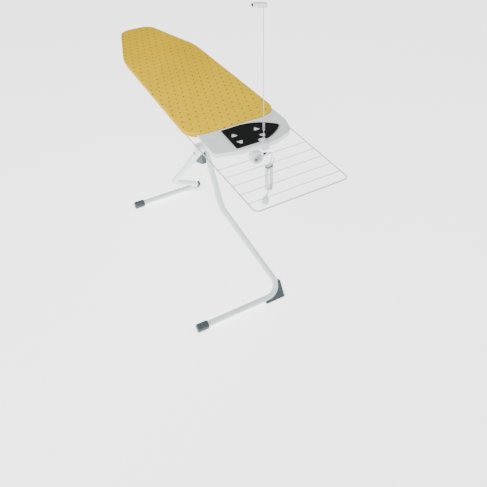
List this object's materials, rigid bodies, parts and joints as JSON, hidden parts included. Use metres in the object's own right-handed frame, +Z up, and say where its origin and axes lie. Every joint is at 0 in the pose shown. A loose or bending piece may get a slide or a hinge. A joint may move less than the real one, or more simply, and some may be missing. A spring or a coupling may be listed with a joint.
{
  "type": "folding ironing board",
  "caption": "Padded ironing board on crossing bent-tube legs, with an iron tray, socket with mains lead, cable rod and wire laundry rack; it folds flat.",
  "frame": {"origin": "floor level, below the centre of the standing board's bounding box", "axes": "+X from the board's nose to its tail, tray and rack; +Y to the right seen from the nose's far side, away from the end caps; +Z up"},
  "size_m": [1.7846, 0.57, 1.56],
  "materials": {
    "cover_yellow": "dotted cotton",
    "pad_white": "felt",
    "frame_white": "powder coat",
    "wire_grey": "powder coat",
    "slate": "satin",
    "tray_white": "gloss",
    "rest_black": "matte",
    "socket_white": "satin",
    "socket_dark": "matte",
    "cord_white": "satin",
    "plug_black": "satin",
    "steel": "zinc plated",
    "contact_metal": "polished",
    "bush_nylon": "satin"
  },
  "bodies": {
    "board": {"cord_gland": "socket_dark", "cord_hank": "cord_white", "cord_lead": "cord_white", "cord_tail": "cord_white", "cord_tie": "plug_black", "cover": "cover_yellow", "cross_bar_1": "frame_white", "cross_bar_2": "frame_white", "cross_bar_3": "frame_white", "cross_bar_4": "frame_white", "cross_bar_5": "frame_white", "cross_bar_6": "frame_white", "earth_contacts": "contact_metal", "foam_pad": "pad_white", "height_rail": "frame_white", "hinge_bolt": "steel", "hinge_bracket": "frame_white", "hinge_nut": "steel", "iron_rest": "rest_black", "lever_pin": "steel", "mesh_panel": "frame_white", "plug_body": "socket_white", "plug_pins": "contact_metal", "plug_relief": "socket_white", "rack_guide_left": "socket_white", "rack_guide_right": "socket_white", "rest_screws": "rest_black", "rim_frame": "frame_white", "rod_clamp": "socket_white", "socket_body": "socket_white", "socket_bracket": "socket_white", "socket_insert": "socket_white", "strap_screws": "steel", "tray": "tray_white", "tray_strap_left": "frame_white", "tray_strap_right": "frame_white"},
    "front_leg": {"front_leg_tube": "frame_white", "front_cap": "slate", "front_glide": "slate", "front_end_plug": "slate", "pivot_sleeve": "frame_white", "sleeve_screws": "steel", "pivot_bolt": "steel", "pivot_nut": "steel", "pivot_block": "slate", "front_hinge_bush": "bush_nylon"},
    "rear_leg": {"rear_leg_tube": "frame_white", "rear_cap": "slate", "rear_glide": "slate", "rear_end_plug": "slate", "rear_pivot_bush": "bush_nylon", "slide_bar": "steel", "slide_bushes": "bush_nylon"},
    "lever": {"release_lever": "frame_white", "lever_grip": "slate"},
    "rack": {"rack_frame": "wire_grey", "rack_cross_wires": "wire_grey"},
    "rod": {"cable_rod": "steel"},
    "clip": {"rod_clip": "socket_white", "clip_hook": "plug_black"}
  },
  "joints": [
    {"name": "front_leg_fold", "type": "hinge", "parent": "board", "child": "front_leg", "pos_m": [0.30165, -0.043, 0.885], "axis": [0, 1, 0], "range_deg": [0, 42]},
    {"name": "rear_leg_fold", "type": "hinge", "parent": "front_leg", "child": "rear_leg", "pos_m": [0.14775, -0.003, 0.714], "axis": [0, 1, 0], "range_deg": [-95, 0]},
    {"name": "lever_squeeze", "type": "hinge", "parent": "board", "child": "lever", "pos_m": [0.11575, 0.039, 0.905], "axis": [0, -1, 0], "range_deg": [0, 7], "stiffness_Nm_per_rad": 2, "springref_deg": -11.46},
    {"name": "rack_pull", "type": "slide", "parent": "board", "child": "rack", "axis": [1, 0, 0], "range_m": [0, 0.09]},
    {"name": "rod_sway", "type": "hinge", "parent": "board", "child": "rod", "pos_m": [0.53075, 0.095, 0.9559], "axis": [0, 1, 0], "range_deg": [-6, 6], "stiffness_Nm_per_rad": 3},
    {"name": "clip_swivel", "type": "hinge", "parent": "rod", "child": "clip", "pos_m": [0.53075, 0.095, 1.55], "axis": [0, 0, 1], "range_deg": [-90, 90]}
  ],
  "couplings": [
    {"joint": "rear_leg_fold", "follows": "front_leg_fold", "ratio": -2.2538}
  ]
}
